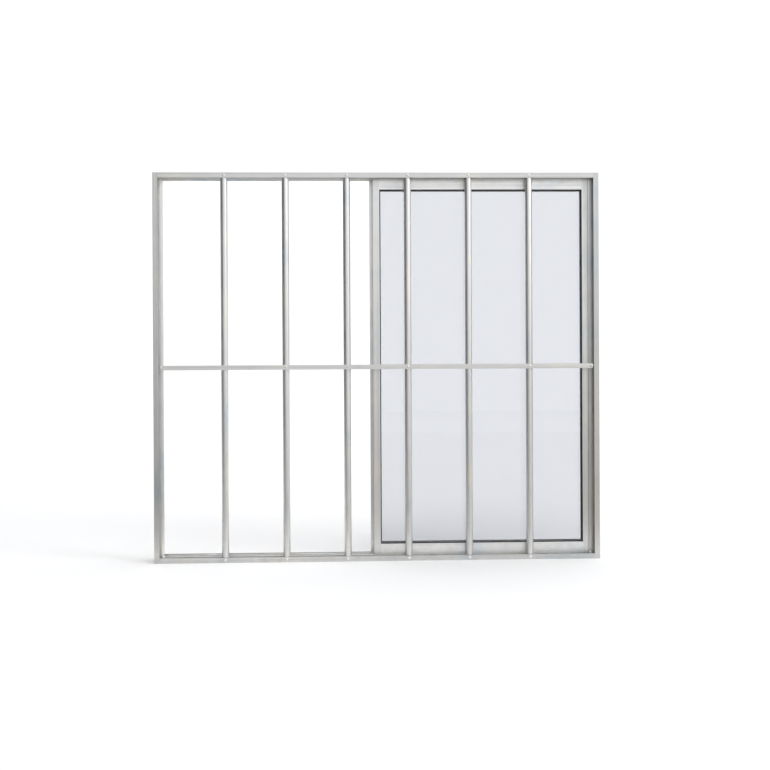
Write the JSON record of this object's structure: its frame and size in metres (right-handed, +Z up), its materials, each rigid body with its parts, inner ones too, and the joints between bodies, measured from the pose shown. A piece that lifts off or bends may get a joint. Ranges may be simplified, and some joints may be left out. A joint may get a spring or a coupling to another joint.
{
  "type": "sliding window with security grille",
  "caption": "Sliding aluminium window with two glazed sashes on rollers and a riveted grille of round bars with a crossbar on the outside.",
  "frame": {"origin": "centre of the sill's underside, midway through the frame's depth", "axes": "+X to the right seen from the grille side, +Y from the grille to the room, +Z up"},
  "size_m": [1.2, 0.0787, 1.045],
  "materials": {
    "frame_aluminium": "mill",
    "sash_aluminium": "mill",
    "bar_aluminium": "mill",
    "rivet_aluminium": "satin",
    "screw_steel": "zinc plated",
    "keeper_steel": "brushed",
    "housing_steel": "zinc plated",
    "roller_nylon": "matte",
    "window_glass": "clear",
    "gasket_rubber": "matte",
    "stop_rubber": "matte",
    "sealant": "satin",
    "pile": "pile",
    "latch_plastic": "matte"
  },
  "bodies": {
    "root": {"bar_rivets_bottom": "rivet_aluminium", "bar_rivets_top": "rivet_aluminium", "corner_sealant": "sealant", "crossbar_end_screws": "screw_steel", "crossbar_end_spacers": "bar_aluminium", "crossbar_rivets": "rivet_aluminium", "frame_head": "frame_aluminium", "frame_screws": "screw_steel", "frame_sill": "frame_aluminium", "grille_bar_1": "bar_aluminium", "grille_bar_2": "bar_aluminium", "grille_bar_3": "bar_aluminium", "grille_bar_4": "bar_aluminium", "grille_bar_5": "bar_aluminium", "grille_bar_6": "bar_aluminium", "grille_crossbar": "bar_aluminium", "jamb_left": "frame_aluminium", "jamb_right": "frame_aluminium", "jamb_stops_left": "stop_rubber", "jamb_stops_right": "stop_rubber", "keeper_left": "keeper_steel", "keeper_right": "keeper_steel", "keeper_screws": "screw_steel"},
    "front_sash": {"front_bottom_rail": "sash_aluminium", "front_brushes": "pile", "front_corner_screws": "screw_steel", "front_gasket": "gasket_rubber", "front_glass": "window_glass", "front_jamb_stile": "sash_aluminium", "front_latch_case": "latch_plastic", "front_latch_screws": "screw_steel", "front_meeting_stile": "sash_aluminium", "front_roller_axles": "housing_steel", "front_roller_housings": "housing_steel", "front_top_rail": "sash_aluminium"},
    "rear_sash": {"rear_bottom_rail": "sash_aluminium", "rear_brushes": "pile", "rear_corner_screws": "screw_steel", "rear_gasket": "gasket_rubber", "rear_glass": "window_glass", "rear_jamb_stile": "sash_aluminium", "rear_latch_case": "latch_plastic", "rear_latch_screws": "screw_steel", "rear_meeting_stile": "sash_aluminium", "rear_roller_axles": "housing_steel", "rear_roller_housings": "housing_steel", "rear_top_rail": "sash_aluminium"},
    "front_latch": {"front_latch_slider": "latch_plastic"},
    "front_roller_left": {"front_wheel_left": "roller_nylon"},
    "front_roller_right": {"front_wheel_right": "roller_nylon"},
    "rear_latch": {"rear_latch_slider": "latch_plastic"},
    "rear_roller_left": {"rear_wheel_left": "roller_nylon"},
    "rear_roller_right": {"rear_wheel_right": "roller_nylon"}
  },
  "joints": [
    {"name": "front_sash_slide", "type": "slide", "parent": "root", "child": "front_sash", "axis": [1, 0, 0], "range_m": [-0.576, 0]},
    {"name": "rear_sash_slide", "type": "slide", "parent": "root", "child": "rear_sash", "axis": [1, 0, 0], "range_m": [-0.568, 0.008]},
    {"name": "front_latch_slide", "type": "slide", "parent": "front_sash", "child": "front_latch", "axis": [0, 0, 1], "range_m": [0, 0.008]},
    {"name": "rear_latch_slide", "type": "slide", "parent": "rear_sash", "child": "rear_latch", "axis": [0, 0, 1], "range_m": [0, 0.008]},
    {"name": "front_roller_left_spin", "type": "hinge", "parent": "front_sash", "child": "front_roller_left", "pos_m": [0.079, -0.0018, 0.0207], "axis": [0, 1, 0], "continuous": true},
    {"name": "front_roller_right_spin", "type": "hinge", "parent": "front_sash", "child": "front_roller_right", "pos_m": [0.497, -0.0018, 0.0207], "axis": [0, 1, 0], "continuous": true},
    {"name": "rear_roller_left_spin", "type": "hinge", "parent": "rear_sash", "child": "rear_roller_left", "pos_m": [0.071, 0.0238, 0.0207], "axis": [0, 1, 0], "continuous": true},
    {"name": "rear_roller_right_spin", "type": "hinge", "parent": "rear_sash", "child": "rear_roller_right", "pos_m": [0.489, 0.0238, 0.0207], "axis": [0, 1, 0], "continuous": true}
  ],
  "couplings": [
    {"joint": "front_roller_left_spin", "follows": "front_sash_slide", "rad_per_m": 133.33},
    {"joint": "front_roller_right_spin", "follows": "front_sash_slide", "rad_per_m": 133.33},
    {"joint": "rear_roller_left_spin", "follows": "rear_sash_slide", "rad_per_m": 133.33},
    {"joint": "rear_roller_right_spin", "follows": "rear_sash_slide", "rad_per_m": 133.33}
  ]
}
